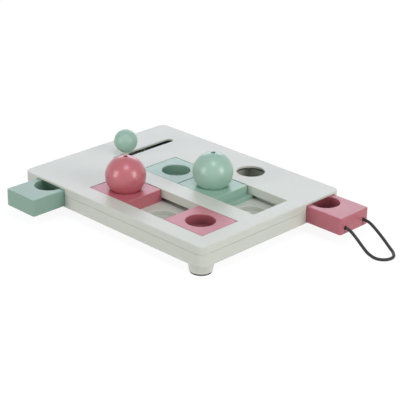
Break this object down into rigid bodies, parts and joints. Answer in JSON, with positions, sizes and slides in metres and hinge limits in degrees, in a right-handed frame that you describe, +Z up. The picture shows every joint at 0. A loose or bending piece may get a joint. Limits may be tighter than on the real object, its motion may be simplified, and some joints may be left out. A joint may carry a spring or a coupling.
{
  "type": "dog puzzle feeder toy",
  "caption": "Sliding treat puzzle board for a dog, with cupped sliders in two windows, lift-off balls, a knob drawer and a cord drawer on round feet.",
  "frame": {"origin": "on the floor, under the middle of the board", "axes": "+X along the board's long sides towards the cord drawer's end, +Y from the knob drawer's side to the far side, +Z up"},
  "size_m": [0.3445, 0.2328, 0.0645],
  "materials": {
    "board_plastic": "fine satin moulded plastic, pale grey with a green cast",
    "pink_plastic": "satin moulded plastic, dusty pink",
    "green_plastic": "satin moulded plastic, soft grey green",
    "pad_rubber": "matte black rubber",
    "cord_braid": "black braided cord",
    "steel": "zinc plated"
  },
  "bodies": {
    "board": {"top_shell": "board_plastic", "base_tray": "board_plastic", "well_deck": "board_plastic", "left_front_screw": "steel", "left_rear_screw": "steel", "rear_screw": "steel", "right_rear_screw": "steel", "right_front_screw": "steel", "front_screw": "steel", "front_left_foot": "board_plastic", "front_left_pad": "pad_rubber", "front_right_foot": "board_plastic", "front_right_pad": "pad_rubber", "rear_left_foot": "board_plastic", "rear_left_pad": "pad_rubber", "rear_right_foot": "board_plastic", "rear_right_pad": "pad_rubber"},
    "pink_ball_slider": {"pink_ball_slider": "pink_plastic", "pink_ball_slider_cover": "pink_plastic"},
    "pink_cup_slider": {"pink_cup_slider": "pink_plastic", "pink_cup_slider_cover": "pink_plastic"},
    "green_cup_slider": {"green_cup_slider": "green_plastic", "green_cup_slider_cover": "green_plastic"},
    "green_ball_slider": {"green_ball_slider": "green_plastic", "green_ball_slider_cover": "green_plastic"},
    "pink_ball": {"pink_ball_lower_half": "pink_plastic", "pink_ball_upper_half": "pink_plastic"},
    "green_ball": {"green_ball_lower_half": "green_plastic", "green_ball_upper_half": "green_plastic"},
    "knob_drawer": {"knob_drawer": "green_plastic", "knob_drawer_cover": "green_plastic", "knob_stem": "board_plastic", "knob_ball": "green_plastic", "knob_screw": "steel"},
    "cord_drawer": {"cord_drawer": "pink_plastic", "cord_drawer_cover": "pink_plastic", "pull_cord": "cord_braid", "near_cord_knot": "cord_braid", "far_cord_knot": "cord_braid"}
  },
  "joints": [
    {"name": "pink_ball_slide", "type": "slide", "parent": "board", "child": "pink_ball_slider", "axis": [1, 0, 0], "range_m": [0, 0.0512]},
    {"name": "pink_cup_slide", "type": "slide", "parent": "board", "child": "pink_cup_slider", "axis": [1, 0, 0], "range_m": [-0.0512, 0]},
    {"name": "green_cup_slide", "type": "slide", "parent": "board", "child": "green_cup_slider", "axis": [1, 0, 0], "range_m": [0, 0.0512]},
    {"name": "green_ball_slide", "type": "slide", "parent": "green_cup_slider", "child": "green_ball_slider", "axis": [-1, 0, 0], "range_m": [-0.0512, 0]},
    {"name": "pink_ball_lift", "type": "slide", "parent": "pink_ball_slider", "child": "pink_ball", "axis": [0, 0, 1], "range_m": [0, 0.03]},
    {"name": "green_ball_lift", "type": "slide", "parent": "green_ball_slider", "child": "green_ball", "axis": [0, 0, 1], "range_m": [0, 0.03]},
    {"name": "knob_drawer_slide", "type": "slide", "parent": "board", "child": "knob_drawer", "axis": [0, -1, 0], "range_m": [-0.0621, 0.0113]},
    {"name": "cord_drawer_slide", "type": "slide", "parent": "board", "child": "cord_drawer", "axis": [1, 0, 0], "range_m": [-0.0423, 0.075]}
  ]
}
